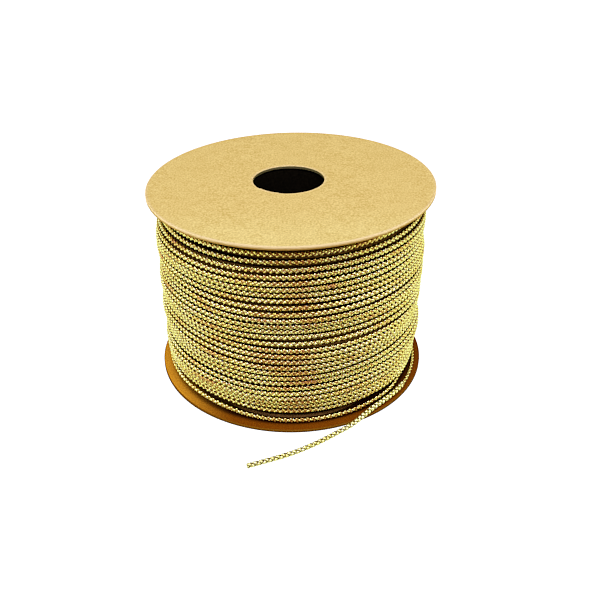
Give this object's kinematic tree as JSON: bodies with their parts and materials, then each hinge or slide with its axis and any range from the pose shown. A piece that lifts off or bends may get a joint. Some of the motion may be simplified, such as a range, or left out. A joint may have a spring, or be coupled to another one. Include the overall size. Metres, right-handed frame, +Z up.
{
  "type": "braided metallic cord on a card reel",
  "caption": "Gold braided craft cord wound unevenly between the kraft-card flanges of a plain reel, with its cut end lying loose in front.",
  "frame": {"origin": "on the surface that the reel stands on, under the middle of its bore", "axes": "+Z up along the bore; the loose end lies on the -Y side and points to -X"},
  "size_m": [0.08, 0.0941, 0.0577],
  "materials": {
    "kraft_card": "matte brown card with fine fibres",
    "tube_card": "matte, in deep shade",
    "gold_cord": "braided metallic yarn with a bright gloss"
  },
  "bodies": {
    "root": {"flange_bottom": "kraft_card", "flange_top": "kraft_card", "core_tube": "tube_card", "winding": "gold_cord", "loose_end": "gold_cord"}
  },
  "joints": []
}
